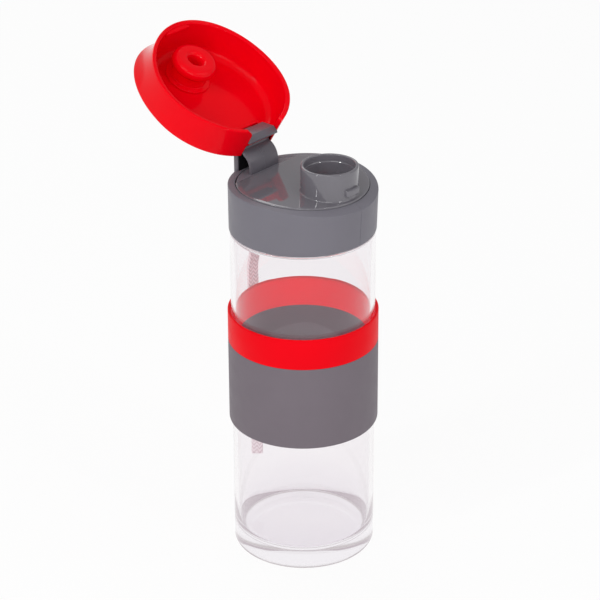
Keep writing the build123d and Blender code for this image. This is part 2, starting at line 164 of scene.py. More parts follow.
def edge_height(y):
    """Height of the collar's waved edge."""
    arc = np.where(y < EDGE_MIDDLE_Y, EDGE_FRONT_ARC, EDGE_BACK_ARC)
    return EDGE_TOP_Z - arc + np.sqrt(arc**2 - (y - EDGE_MIDDLE_Y) ** 2)


def deck_height(y):
    return DECK_TOP_Z - DECK_ARC + np.sqrt(DECK_ARC**2 - (y - DECK_MIDDLE_Y) ** 2)


def collar_edge(c, s):
    """Radius and height of the collar's edge in the direction (c, s), and the climb from it to the crest."""
    edge_y = (EDGE_BACK if s > 0 else EDGE_FRONT) * s
    edge_r = math.hypot(COLLAR_R * c, edge_y)
    edge_z = float(edge_height(edge_y))
    crest_z = float(deck_height(CREST_R * s)) - CREST_DROP
    return edge_r, edge_z, (crest_z - edge_z) / (edge_r - CREST_R)


# Mesh helpers


def add_piece(name, verts, faces, material, body, sharp=38.0, swing=False):
    """Makes a piece from millimetre points, shades it smooth but for its sharp edges, and rides it."""
    mesh = bpy.data.meshes.new(name)
    points = np.array(verts, float) * MM
    mesh.from_pydata([tuple(p) for p in points], [], [tuple(int(i) for i in f) for f in faces])
    mesh.validate()
    mesh.update()
    face_outwards(mesh)
    obj = bpy.data.objects.new(name, mesh)
    bpy.context.scene.collection.objects.link(obj)
    mesh.materials.append(material)
    shade(obj, sharp)
    if swing:
        swing_open(obj)
    if body:
        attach(obj, body)
    return obj


def face_outwards(mesh, merge=0.0):
    """Turns all faces outwards, after points closer than merge are joined."""
    work = bmesh.new()
    work.from_mesh(mesh)
    if merge:
        bmesh.ops.remove_doubles(work, verts=work.verts, dist=merge)
        bmesh.ops.dissolve_degenerate(work, edges=work.edges, dist=merge)
    bmesh.ops.recalc_face_normals(work, faces=work.faces)
    work.to_mesh(mesh)
    work.free()


def swing_open(obj):
    """Turns a piece drawn with the lid shut to the open lid."""
    turn = Matrix.Rotation(math.radians(-OPEN_ANGLE), 4, "X")
    pivot = Vector((0, HINGE_Y * MM, HINGE_Z * MM))
    obj.data.transform(Matrix.Translation(pivot) @ turn @ Matrix.Translation(-pivot))


def shade(obj, sharp):
    mesh = obj.data
    mesh.polygons.foreach_set("use_smooth", [True] * len(mesh.polygons))
    mesh.set_sharp_from_angle(angle=math.radians(sharp))


def settle(obj, sharp=38.0):
    """Turns an object's modifiers into its mesh."""
    graph = bpy.context.evaluated_depsgraph_get()
    done = bpy.data.meshes.new_from_object(obj.evaluated_get(graph))
    old = obj.data
    obj.modifiers.clear()
    obj.data = done
    bpy.data.meshes.remove(old)
    shade(obj, sharp)


def bevel(obj, width, segments=2, angle=40.0):
    mod = obj.modifiers.new("bevel", "BEVEL")
    mod.width = width * MM
    mod.segments = segments
    mod.limit_method = "ANGLE"
    mod.angle_limit = math.radians(angle)
    settle(obj)


def cut(obj, cutter, sharp):
    mod = obj.modifiers.new("cut", "BOOLEAN")
    mod.operation = "DIFFERENCE"
    mod.solver = "EXACT"
    mod.object = cutter
    settle(obj, sharp)
    mesh = cutter.data
    bpy.data.objects.remove(cutter)
    bpy.data.meshes.remove(mesh)


def skin(rings, closed=False, cap_first=False, cap_last=False):
    """Faces over a stack of rings of equal length; closed joins the last ring to the first."""
    count = len(rings[0])
    verts = np.concatenate([np.array(r, float) for r in rings])
    faces = []
    pairs = len(rings) if closed else len(rings) - 1
    for k in range(pairs):
        a = k * count
        b = ((k + 1) % len(rings)) * count
        for i in range(count):
            j = (i + 1) % count
            faces.append((a + i, a + j, b + j, b + i))
    for wanted, start in ((cap_first, 0), (cap_last, (len(rings) - 1) * count)):
        if wanted:
            centre = verts[start : start + count].mean(axis=0)
            verts = np.vstack([verts, centre])
            for i in range(count):
                faces.append((start + i, start + (i + 1) % count, len(verts) - 1))
    return verts, faces


def around(count):
    """Even turns round a full circle."""
    return np.linspace(0, 2 * math.pi, count, endpoint=False)


def quarter(steps):
    """A quarter of a circle in even steps, as pairs of 1 - cos, which starts slowly, and 1 - sin."""
    turns = [math.radians(90 * k / steps) for k in range(steps + 1)]
    return [(1 - math.cos(t), 1 - math.sin(t)) for t in turns]


def turned(profile, count, centre_y=0.0, closed=False):
    """Surface of revolution; ends on the axis are closed with a fan."""
    angles = around(count)
    on_axis = [abs(r) < 1e-6 for r, z in profile]
    rings = []
    for (r, z), axis in zip(profile, on_axis):
        if not axis:
            y = centre_y + r * np.sin(angles)
            rings.append(np.stack([r * np.cos(angles), y, np.full(count, z)], -1))
    return skin(rings, closed=closed, cap_first=on_axis[0], cap_last=on_axis[-1])


def unit(v):
    """A vector, or each row of an array, at length 1."""
    v = np.array(v, float)
    return v / np.linalg.norm(v, axis=-1, keepdims=True)


def rounded(points, radii, steps=4):
    """Open line through the points with its corners rounded; radii are for the inner points."""
    result = [np.array(points[0], float)]
    for before, corner, after, radius in zip(points, points[1:], points[2:], radii):
        before, corner, after = (np.array(p, float) for p in (before, corner, after))
        if radius <= 0:
            result.append(corner)
            continue
        u, v = unit(before - corner), unit(after - corner)
        half = math.acos(max(-1.0, min(1.0, float(u @ v)))) / 2
        reach = radius / math.tan(half)
        start, end = corner + u * reach, corner + v * reach
        middle = corner + unit(u + v) * radius / math.sin(half)
        a0 = math.atan2(*(start - middle)[::-1])
        a1 = math.atan2(*(end - middle)[::-1])
        turn = (a1 - a0 + math.pi) % (2 * math.pi) - math.pi
        for k in range(steps + 1):
            a = a0 + turn * k / steps
            result.append(middle + radius * np.array([math.cos(a), math.sin(a)]))
    result.append(np.array(points[-1], float))
    return result


def rounded_ring(points, radii):
    """Closed outline with its corners rounded."""
    return rounded([points[-1]] + points + [points[0]], radii)[1:-1]


def split_long(points, longest):
    """Line with points added so that no step is longer than longest."""
    result = [np.array(points[0], float)]
    for a, b in zip(points, points[1:]):
        a, b = np.array(a, float), np.array(b, float)
        steps = max(1, int(math.ceil(np.linalg.norm(b - a) / longest)))
        for k in range(1, steps + 1):
            result.append(a + (b - a) * k / steps)
    return result


def prism(outline, place_low, place_high):
    """Closed solid between two copies of an outline; each place function maps a 2D point to 3D."""
    low = [place_low(*p) for p in outline]
    high = [place_high(*p) for p in outline]
    count = len(outline)
    faces = [(i, (i + 1) % count, count + (i + 1) % count, count + i) for i in range(count)]
    faces.append(tuple(range(count - 1, -1, -1)))
    faces.append(tuple(range(count, 2 * count)))
    return np.array(low + high, float), faces


def side_prism(outline, x_low, x_high):
    return prism(outline, lambda y, z: (x_low, y, z), lambda y, z: (x_high, y, z))


def plan_prism(outline, z_low, z_high):
    return prism(outline, lambda x, y: (x, y, z_low), lambda x, y: (x, y, z_high))


def front_prism(outline, y_low, y_high):
    return prism(outline, lambda x, z: (x, y_low, z), lambda x, z: (x, y_high, z))


def tube(path, radius, sides):
    """Round bar along a line of points."""
    path = [np.array(p, float) for p in path]
    rings = []
    for k, p in enumerate(path):
        ahead = unit(path[min(k + 1, len(path) - 1)] - path[max(k - 1, 0)])
        guess = np.array([1.0, 0, 0]) if abs(ahead[0]) < 0.8 else np.array([0, 0, 1.0])
        u = unit(np.cross(ahead, guess))
        v = np.cross(ahead, u)
        rings.append([p + radius * (math.cos(a) * u + math.sin(a) * v) for a in around(sides)])
    return skin(rings, cap_first=True, cap_last=True)


# Materials


def new_material(name):
    mat = bpy.data.materials.new(name)
    mat.use_nodes = True
    tree = mat.node_tree
    return mat, tree, tree.nodes["Principled BSDF"]


def feed(tree, value, socket):
    """Links another node's output to a socket, or sets the socket to a number or a colour."""
    if isinstance(value, bpy.types.NodeSocket):
        tree.links.new(value, socket)
    elif isinstance(value, float):
        socket.default_value = value
    else:
        socket.default_value = (*value, 1)


def noise(tree, scale, detail=3.0, rough=0.5):
    node = tree.nodes.new("ShaderNodeTexNoise")
    node.inputs["Scale"].default_value = scale
    node.inputs["Detail"].default_value = detail
    node.inputs["Roughness"].default_value = rough
    tree.links.new(tree.nodes.new("ShaderNodeTexCoord").outputs["Object"], node.inputs["Vector"])
    return node.outputs["Fac"]


def spread(tree, source, low, high, start=0.0, end=1.0):
    """Maps start to end onto low to high."""
    node = tree.nodes.new("ShaderNodeMapRange")
    for name, value in (("From Min", start), ("From Max", end), ("To Min", low), ("To Max", high)):
        node.inputs[name].default_value = value
    tree.links.new(source, node.inputs["Value"])
    return node.outputs["Result"]


def tint(tree, fac, dark, light, blend="MIX"):
    """Colour between dark and light, each a colour or an output."""
    node = tree.nodes.new("ShaderNodeMix")
    node.data_type = "RGBA"
    node.blend_type = blend
    for name, value in (("Factor", fac), ("A", dark), ("B", light)):
        feed(tree, value, node.inputs[name])
    return node.outputs["Result"]


def compute(tree, operation, first, second):
    node = tree.nodes.new("ShaderNodeMath")
    node.operation = operation
    feed(tree, first, node.inputs[0])
    feed(tree, second, node.inputs[1])
    return node.outputs[0]


def mix_shaders(tree, fac, first, second):
    node = tree.nodes.new("ShaderNodeMixShader")
    for k, source in enumerate((fac, first, second)):
        tree.links.new(source, node.inputs[k])
    return node.outputs["Shader"]


def bump(tree, height, strength, distance, normal=None):
    node = tree.nodes.new("ShaderNodeBump")
    node.inputs["Strength"].default_value = strength
    node.inputs["Distance"].default_value = distance
    tree.links.new(height, node.inputs["Height"])
    if normal:
        tree.links.new(normal, node.inputs["Normal"])
    return node.outputs["Normal"]


def soft_edges(tree, radius):
    node = tree.nodes.new("ShaderNodeBevel")
    node.samples = 4
    node.inputs["Radius"].default_value = radius
    return node.outputs["Normal"]


def axis_place(tree):
    """Distance of the shaded point from the bottle's axis, and its height."""
    nodes, links = tree.nodes, tree.links
    place = nodes.new("ShaderNodeSeparateXYZ")
    links.new(nodes.new("ShaderNodeTexCoord").outputs["Object"], place.inputs["Vector"])
    flat = nodes.new("ShaderNodeCombineXYZ")
    for name in ("X", "Y"):
        links.new(place.outputs[name], flat.inputs[name])
    away = nodes.new("ShaderNodeVectorMath")
    away.operation = "LENGTH"
    links.new(flat.outputs["Vector"], away.inputs[0])
    return away.outputs["Value"], place.outputs["Z"]


def plastic(name, colour, rough, grain_scale, grain_depth, vary=0.04, specular=0.5, edge=0.0):
    """Moulded plastic or silicone with a fine grain, small changes of gloss and a faint change of tone."""
    mat, tree, shader = new_material(name)
    links = tree.links
    dark = [c * (1 - vary) for c in colour]
    light = [min(1.0, c * (1 + vary)) for c in colour]
    links.new(tint(tree, noise(tree, 55.0), dark, light), shader.inputs["Base Color"])
    smear = noise(tree, 160.0, 4.0)
    links.new(spread(tree, smear, rough * 0.8, rough * 1.2), shader.inputs["Roughness"])
    grain = noise(tree, grain_scale, 2.0, 0.6)
    start = soft_edges(tree, edge) if edge else None
    links.new(bump(tree, grain, 1.0, grain_depth, start), shader.inputs["Normal"])
    shader.inputs["Specular IOR Level"].default_value = specular
    return mat


# Heights between which the glass floor's deeper tone fades out, and where the painted shade of the foot's
# dark line starts
# and is full: by its distance from the axis and by its height
FLOOR_TONE_ZS = (10.0 * MM, 30.0 * MM)
FOOT_SHADE_RS = (35.2 * MM, 36.2 * MM)
FOOT_SHADE_ZS = (2.6 * MM, 1.2 * MM)
# Bounces after which a path in the glass ends in a painted glow, the pale tone of the studio
LONGEST_PATH = 5.5


def clear_plastic(name, floor_colour, wall_colour, foot_shade_colour, glow_colour, rough=0.004):
    """Clear plastic, deeper in tone in its thick floor, with painted shade darkest in the rounded edge of
    its foot and a painted glow where a path in it runs long.
    """
    mat, tree, shader = new_material(name)
    nodes, links = tree.nodes, tree.links
    away, height = axis_place(tree)
    tone = tint(tree, spread(tree, height, 0.0, 1.0, *FLOOR_TONE_ZS), floor_colour, wall_colour)
    # Painted shade: a dark line in the rounded edge of the foot
    outward = spread(tree, away, 0.0, 1.0, *FOOT_SHADE_RS)
    downward = spread(tree, height, 0.0, 1.0, *FOOT_SHADE_ZS)
    foot = compute(tree, "MULTIPLY", outward, downward)
    links.new(tint(tree, foot, tone, foot_shade_colour), shader.inputs["Base Color"])
    shader.inputs["Transmission Weight"].default_value = 1.0
    shader.inputs["IOR"].default_value = 1.49
    smear = noise(tree, 90.0)
    links.new(spread(tree, smear, rough * 0.5, rough * 1.5), shader.inputs["Roughness"])
    links.new(bump(tree, noise(tree, 22.0, 1.0), 0.1, 0.0002), shader.inputs["Normal"])
    # Light that reaches other pieces, as shadow rays and diffuse rays, passes straight through.
    path = nodes.new("ShaderNodeLightPath")
    straight = compute(tree, "MAXIMUM", path.outputs["Is Shadow Ray"], path.outputs["Is Diffuse Ray"])
    through = nodes.new("ShaderNodeBsdfTransparent")
    through.inputs["Color"].default_value = (0.97, 0.95, 0.96, 1)
    surface = mix_shaders(tree, straight, shader.outputs["BSDF"], through.outputs["BSDF"])
    # Painted glow: after that many bounces the path ends in an emitted pale tone
    late = compute(tree, "GREATER_THAN", path.outputs["Ray Depth"], LONGEST_PATH)
    painted_glow = nodes.new("ShaderNodeEmission")
    painted_glow.inputs["Color"].default_value = (*glow_colour, 1)
    surface = mix_shaders(tree, late, surface, painted_glow.outputs["Emission"])
    links.new(surface, nodes["Material Output"].inputs["Surface"])
    return mat


def webbing(name):
    """Herringbone webbing in a pale tone, with painted shade where its threads dip, read from the strap's
    own weave attribute.
    """
    mat, tree, shader = new_material(name)
    links = tree.links
    weave = tree.nodes.new("ShaderNodeAttribute")
    weave.attribute_name = "weave"
    fuzz = noise(tree, 2600.0, 3.0, 0.7)
    # Painted shade: the weave tone is darker where the threads dip
    weave_shade = tint(tree, weave.outputs["Fac"], (0.62, 0.5, 0.53), (1.0, 0.93, 0.94))
    shadows = tint(tree, fuzz, (0.88, 0.88, 0.88), (1.0, 1.0, 1.0))
    cloth = tint(tree, 1.0, weave_shade, shadows, "MULTIPLY")
    links.new(cloth, shader.inputs["Base Color"])
    shader.inputs["Roughness"].default_value = 0.85
    shader.inputs["Specular IOR Level"].default_value = 0.2
    shader.inputs["Sheen Weight"].default_value = 0.15
    # Painted glow: the cloth colour also emitted faintly, standing in for light that the thin pale webbing
    # lets through from behind.
    links.new(cloth, shader.inputs["Emission Color"])
    shader.inputs["Emission Strength"].default_value = 0.2
    links.new(bump(tree, fuzz, 0.6, 0.0001), shader.inputs["Normal"])
    return mat


def paint_inner_glow(mat, colour, radius, strength):
    """Painted glow: emission on a thin ring's inner wall, standing in for light that soaks through from
    behind.
    """
    tree = mat.node_tree
    away = axis_place(tree)[0]
    # Painted glow: full at the inner wall, gone a little way out from it
    inside = spread(tree, away, strength, 0.0, radius - 0.1 * MM, radius + 0.3 * MM)
    shader = tree.nodes["Principled BSDF"]
    shader.inputs["Emission Color"].default_value = (*colour, 1)
    tree.links.new(inside, shader.inputs["Emission Strength"])


RED = (0.86, 0.0, 0.007)
GLASS_FLOOR = (0.895, 0.87, 0.9)
GLASS_WALL = (0.965, 0.947, 0.96)
# Painted shade for the dark line at the foot's rounded edge
GLASS_FOOT_SHADE = (0.4, 0.35, 0.36)
# Painted glow that ends long paths in the glass
STUDIO_GLOW = (0.56, 0.5, 0.53)
COLLAR_GREY = (0.17, 0.162, 0.19)
GLOSS_GREY = (0.15, 0.142, 0.163)
glass_mat = clear_plastic("clear_glass", GLASS_FLOOR, GLASS_WALL, GLASS_FOOT_SHADE, STUDIO_GLOW)
sleeve_mat = plastic("grey_silicone", (0.168, 0.142, 0.165), 0.55, 4200.0, 0.00006, specular=0.3)
band_mat = plastic("red_silicone", RED, 0.42, 4200.0, 0.00004, specular=0.06)
# Painted glow on the red band's inner wall
paint_inner_glow(band_mat, (1.0, 0.0, 0.03), GRIP_IN_R * MM, 0.42)
collar_mat = plastic("grey_plastic", COLLAR_GREY, 0.45, 5200.0, 0.00005, specular=0.3, edge=0.0003)
gloss_mat = plastic("grey_gloss", GLOSS_GREY, 0.03, 1500.0, 0.000001, 0.03, specular=0.7, edge=0.0002)
post_mat = plastic("grey_post", (0.118, 0.108, 0.128), 0.3, 5200.0, 0.00003, specular=0.4)
# Near-black painted shade for the hollow under the hinge arch
shade_sheet_mat = plastic("painted_shade_grey", (0.012, 0.011, 0.013), 0.6, 5200.0, 0.00003, specular=0.1)
seal_mat = plastic("seal_silicone", (0.8, 0.02, 0.02), 0.45, 3000.0, 0.00003, 0.06)
lid_mat = plastic("red_gloss", RED, 0.12, 900.0, 0.000004, 0.03, specular=0.07, edge=0.0003)
plug_mat = plastic("plug_silicone", RED, 0.06, 2500.0, 0.000003, specular=0.12)
web_mat = webbing("webbing")


# Glass body and grip


def press_thread(verts, wall_r, low, high, phase, height):
    """Moves a round wall's points out along a right-hand thread between two heights; in for height < 0."""
    angle = np.arctan2(verts[:, 1], verts[:, 0])
    z = verts[:, 2]
    place = (z / THREAD_PITCH - angle / (2 * math.pi) + phase) % 1.0
    # A ridge with a flat top and sloping sides, over half of the pitch
    ridge = np.clip(1.6 - np.abs(place - 0.5) * 6.4, 0, 1)
    ridge *= np.clip((z - low) / THREAD_FADE, 0, 1) * np.clip((high - z) / THREAD_FADE, 0, 1)
    on_wall = np.abs(np.hypot(verts[:, 0], verts[:, 1]) - wall_r) < 0.01
    verts[:, :2] *= np.where(on_wall, 1 + ridge * height / wall_r, 1.0)[:, None]


def make_bottle():
    """Clear body: under the foot, up the outside, over the lip and down the inside, with its thread."""
    neck_low_z = SHOULDER_Z + 1.5
    neck_high_z = NECK_TOP_Z - 1.1
    inside_z = SHOULDER_Z + 1.8
    inner_r = BODY_R - BODY_WALL
    under_z = SHOULDER_Z - SHOULDER_T
    longest = 12.0
    row_h = 0.35
    thread_low_z, thread_high_z = SHOULDER_Z + 3.0, NECK_TOP_Z - 2.5
    outside = [(PUNT_EDGE_R, PUNT_EDGE_H), (FOOT_IN_R, 0), (BODY_R, 0)]
    outside += [(BODY_R, SHOULDER_Z), (NECK_R, SHOULDER_Z), (NECK_R, neck_low_z)]
    foot = [(0, PUNT_H), (PUNT_R, PUNT_H)]
    profile = split_long(foot + rounded(outside, OUTSIDE_ROUNDS, steps=6), longest)
    profile += [(NECK_R, z) for z in np.arange(neck_low_z + 0.4, neck_high_z - 0.1, row_h)]
    lip = [(NECK_R, neck_high_z), (NECK_R, NECK_TOP_Z), (NECK_IN_R, NECK_TOP_Z), (NECK_IN_R, inside_z)]
    profile += rounded(lip, radii=[NECK_ROUND] * 2)
    inside = [(NECK_IN_R, inside_z), (NECK_IN_R, under_z), (inner_r, under_z)]
    inside += [(inner_r, FLOOR_T), (FLOOR_CROWN_R, FLOOR_T), (0, FLOOR_T + FLOOR_CROWN)]
    profile += split_long(rounded(inside, INSIDE_ROUNDS, steps=6)[1:], longest)
    verts, faces = turned(profile, ROUND)
    press_thread(verts, NECK_R, thread_low_z, thread_high_z, 0.0, NECK_THREAD_H)
    bottle = add_piece("glass_body", verts, faces, glass_mat, "bottle", sharp=50.0)
    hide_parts("bottle_body")


def add_ring(name, outline, radii, material, body, count=ROUND):
    """Turned ring with a rounded closed outline."""
    verts, faces = turned(rounded_ring(outline, radii), count, closed=True)
    return add_piece(name, verts, faces, material, body)


def make_grip():
    top_z = BAND_LOW_Z - BAND_JOINT
    outline = [(GRIP_IN_R, GRIP_LOW_Z), (GRIP_R, GRIP_LOW_Z), (GRIP_R, top_z), (GRIP_IN_R, top_z)]
    sleeve = add_ring("sleeve_skin", outline, SLEEVE_ROUNDS, sleeve_mat, "bottle")
    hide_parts("grip_sleeve")
    low_z = BAND_LOW_Z + BAND_JOINT
    outline = [(GRIP_IN_R, low_z), (GRIP_R, low_z), (GRIP_R, BAND_TOP_Z)]
    outline += [(GRIP_R - BAND_RIM, BAND_TOP_Z), (GRIP_IN_R, BAND_TOP_Z - BAND_FALL)]
    band = add_ring("band_skin", outline, BAND_ROUNDS, band_mat, "bottle")
    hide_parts("grip_band")


# Screw cap


def make_collar():
    """Collar whose wall flares into a waved edge, with a stepped opening and a threaded bore."""
    angles = around(ROUND)
    profiles = []
    for a in angles:
        c, s = math.cos(a), math.sin(a)
        edge_r, edge_z, climb = collar_edge(c, s)
        top_z = edge_z + climb * (edge_r - OPENING_R)
        outline = [(BORE_R, COLLAR_LOW_Z), (COLLAR_R, COLLAR_LOW_Z), (edge_r, edge_z)]
        outline += [(OPENING_R, top_z), (OPENING_R, LEDGE_Z), (BORE_R, LEDGE_Z)]
        profiles.append(rounded_ring(outline, COLLAR_ROUNDS))
    profiles = np.array(profiles)
    # The long walls get more rows: the outer wall for shading, the bore for its thread.
    longest = 4.0
    bore_rows = 44
    steps = profiles.shape[1]
    rings = []
    for k in range(steps):
        here, there = profiles[:, k], profiles[:, (k + 1) % steps]
        gap = np.linalg.norm(there - here, axis=1).max()
        parts = bore_rows if k == steps - 1 else max(1, int(gap / longest))
        for m in range(parts):
            r, z = (here + (there - here) * m / parts).T
            rings.append(np.stack([r * np.cos(angles), r * np.sin(angles), z], -1))
    verts, faces = skin(rings, closed=True)
    thread_low_z, thread_high_z = COLLAR_LOW_Z + 2.0, NECK_TOP_Z - 1.5
    press_thread(verts, BORE_R, thread_low_z, thread_high_z, 0.5, -BORE_THREAD_H)
    collar = add_piece("collar_wall", verts, faces, collar_mat, "cap", sharp=50.0)
    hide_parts("collar_ring")


def make_hinge_ground():
    """Level ground under the hinge post, between the deck's straight edge and the collar's crest."""
    radius = CREST_R + 0.1
    turn = math.acos(CHORD_Y / radius)
    arc = [(radius * math.sin(a), radius * math.cos(a)) for a in np.linspace(-turn, turn, 60)]
    width = len(arc)
    shares = np.linspace(0, 1, 8)
    verts, faces = [], []
    for share in shares:
        for x, arc_y in arc:
            y = CHORD_Y + (arc_y - CHORD_Y) * share
            verts.append((x, y, float(deck_height(y)) - CREST_DROP))
    last_row = (len(shares) - 1) * width
    for row in range(0, last_row, width):
        for i in range(row, row + width - 1):
            faces.append((i, i + 1, i + width + 1, i + width))
    top_count = len(verts)
    verts += [(x, y, LEDGE_Z) for x, y, z in verts]
    faces += [tuple(i + top_count for i in reversed(f)) for f in faces]
    border = list(range(width)) + list(range(last_row + width - 1, last_row - 1, -1))
    for a, b in zip(border, border[1:] + border[:1]):
        faces.append((a, b, b + top_count, a + top_count))
    ground = add_piece("hinge_ground", verts, faces, collar_mat, "cap", sharp=50.0)
    face_outwards(ground.data, 0.01 * MM)
    shade(ground, 50.0)


def hermite(t, start, end, leave, arrive):
    """Place at share t of a smooth piece from start to end, with its slopes there."""
    return (
        (2 * t**3 - 3 * t**2 + 1) * start
        + (t**3 - 2 * t**2 + t) * leave
        + (3 * t**2 - 2 * t**3) * end
        + (t**3 - t**2) * arrive
    )


def curve_through(points, tangents, steps):
    """Smooth line through the points with given directions at its ends."""
    points = [np.array(p, float) for p in points]
    slopes = [unit(after - before) for before, after in zip(points, points[2:])]
    slopes = [unit(tangents[0])] + slopes + [unit(tangents[1])]
    result = []
    for k in range(len(points) - 1):
        a, b = points[k], points[k + 1]
        size = np.linalg.norm(b - a)
        for t in np.linspace(0, 1, steps, endpoint=False):
            result.append(hermite(t, a, b, size * slopes[k], size * slopes[k + 1]))
    result.append(points[-1])
    return result


def arch_line(inset, end_z):
    """Side view curve of the arch, as (y, z), from its foot to under the axle, set inwards by a wall."""
    points = [(ARCH_Y + inset, ARCH_LOW_Z)]
    for step, (y, z) in enumerate(ARCH_RISE):
        sink = (step + 1) / len(ARCH_RISE)
        points.append((y + inset * (1 - sink / 2), z - inset * sink))
    points.append((JAW_Y, end_z))
    return [tuple(p) for p in curve_through(points, ((0, 1), (1, 0.3)), 8)]


def make_post():
    """Arched post with the open seat that holds the lid's axle, and a near-black sheet of painted shade in
    its hollow.
    """
    back_y = 36.9
    back_bend_z = 216.07
    jaw_top_z = 221.65
    hook_y = 25.6
    hook_low_z, hook_high_z = 221.7, 222.6
    crown_front_y, crown_back_y = 28.0, 35.7
    inner_top_z = ARCH_TOP_Z - POST_WALL
    rise = math.sqrt(SEAT_R**2 - (HINGE_Y - JAW_Y) ** 2)
    start = math.atan2(-rise, JAW_Y - HINGE_Y)
    # The seat runs round the axle from under the jaw's opening to above it.
    seat = []
    for t in np.linspace(start, -start, 22):
        seat.append((HINGE_Y + SEAT_R * math.cos(t), HINGE_Z + SEAT_R * math.sin(t)))
    outline = [(ARCH_Y, POST_FLOOR_Z)] + arch_line(0, ARCH_TOP_Z) + seat
    outline += [(JAW_Y, jaw_top_z), (hook_y, hook_low_z), (hook_y, hook_high_z)]
    outline += [(crown_front_y, LID_TOP_Z), (crown_back_y, LID_TOP_Z), (back_y, back_bend_z)]
    outline += [(back_y, POST_FLOOR_Z), (LEG_Y, POST_FLOOR_Z), (LEG_Y, inner_top_z)]
    outline += reversed(arch_line(POST_WALL, inner_top_z))
    outline += [(ARCH_Y + POST_WALL, POST_FLOOR_Z)]
    shortest = 0.05
    clean = [outline[0]]
    for p in outline[1:]:
        if math.dist(p, clean[-1]) > shortest:
            clean.append(p)
    verts, faces = side_prism(clean, -POST_HALF_W, POST_HALF_W)
    post = add_piece("hinge_post", verts, faces, post_mat, "cap")
    bevel(post, 0.28)

    # Painted shade: a near-black sheet in the hollow under the arch
    shade_half_w = 9.5
    gap = 0.02
    thickness = 0.18
    near, far = POST_WALL + gap, POST_WALL + gap + thickness
    shade_y = LEG_Y - gap
    shade_outline = [(ARCH_Y + near, POST_FLOOR_Z)] + arch_line(near, ARCH_TOP_Z - near)
    shade_outline += [(shade_y, ARCH_TOP_Z - near), (shade_y, POST_FLOOR_Z)]
    shade_outline += [(shade_y - thickness, POST_FLOOR_Z), (shade_y - thickness, ARCH_TOP_Z - far)]
    shade_outline += reversed(arch_line(far, ARCH_TOP_Z - far))
    shade_outline += [(ARCH_Y + far, POST_FLOOR_Z)]
    verts, faces = side_prism(shade_outline, -shade_half_w, shade_half_w)
    hollow = add_piece("arch_painted_shade", verts, faces, shade_sheet_mat, "cap")


def make_lug():
    """Lug with a bar for the strap, on the collar's back."""
    half_w, gap_half_w = 7.0, 5.0
    root_y, bar_y, back_y = 36.6, 39.8, 41.4
    low_z, top_z = 184.5, 191.5
    half = [(gap_half_w, bar_y), (gap_half_w, root_y), (half_w, root_y), (half_w, back_y)]
    outline = half + [(-x, y) for x, y in reversed(half)]
    verts, faces = plan_prism(outline, low_z, top_z)
    lug = add_piece("strap_lug", verts, faces, collar_mat, "cap")
    bevel(lug, 0.4, 3)


def make_mould_lines():
    """Fine raised lines where the mould halves met: down the collar's front and over the hinge arch."""
    edge_r, edge_z, climb = collar_edge(0.0, -1.0)
    front = []
    for share in np.linspace(0.02, 0.985, 24):
        reach = COLLAR_R + (edge_r - COLLAR_R) * share
        front.append((0.0, -reach, COLLAR_LOW_Z + (edge_z - COLLAR_LOW_Z) * share))
    for inwards in np.linspace(0.1, 0.82, 8) * (edge_r - CREST_R):
        front.append((0.0, inwards - edge_r, edge_z + climb * inwards))
    root_low_z, root_high_z = 206.0, 206.9
    arch = [(0.0, ARCH_Y, z) for z in np.linspace(root_low_z, root_high_z, 3)]
    arch += [(0.0, y, z) for y, z in arch_line(0, ARCH_TOP_Z)[:-2]]
    for name, path, radius in (("collar_mould_line", front, 0.09), ("arch_mould_line", arch, 0.1)):
        verts, faces = tube(path, radius, 6)
        line = add_piece(name, verts, faces, collar_mat, "cap", sharp=180.0)


def make_deck():
    """Domed plate with a rounded rim, a straight back edge and the spout's hole."""
    back_y = CHORD_Y - DECK_JOINT
    turn = math.acos(back_y / DECK_R)
    arc = np.linspace(turn, 2 * math.pi - turn, 200)
    outline = [np.array([DECK_R * math.sin(a), DECK_R * math.cos(a)]) for a in arc]
    outline += [outline[-1] + (outline[0] - outline[-1]) * k / 40 for k in range(1, 40)]
    centre = np.array([0.0, -3.0])

    def inset(by):
        """Outline moved inwards; corners are kept within the shape."""
        result = []
        for p in outline:
            r = np.linalg.norm(p)
            q = p * (min(r, DECK_R - by) / r)
            result.append(np.array([q[0], min(q[1], back_y - by)]))
        return result

    def ring_at(points, drop):
        return [(x, y, float(deck_height(y)) - drop) for x, y in points]

    rings = [[(x, y, DECK_LOW_Z) for x, y in inset(0.0)]]
    for slow, fast in quarter(4):
        rings.append(ring_at(inset(DECK_ROUND * slow), DECK_ROUND * fast))
    rim = inset(DECK_ROUND)
    for share in np.linspace(0.06, 0.98, 26):
        rings.append(ring_at([p + (centre - p) * share for p in rim], 0.0))
    verts, faces = skin(rings, cap_first=True, cap_last=True)
    deck = add_piece("deck_plate", verts, faces, gloss_mat, "cap", sharp=50.0)
    low_z, high_z = DECK_LOW_Z - 5.0, DECK_TOP_Z + 6.0
    hole = [(0, low_z), (SPOUT_BORE_R, low_z), (SPOUT_BORE_R, high_z), (0, high_z)]
    verts, faces = turned(hole, 96, SPOUT_Y)
    cut(deck, add_piece("hole_cutter", verts, faces, gloss_mat, None), 50.0)
    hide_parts("spout_deck")


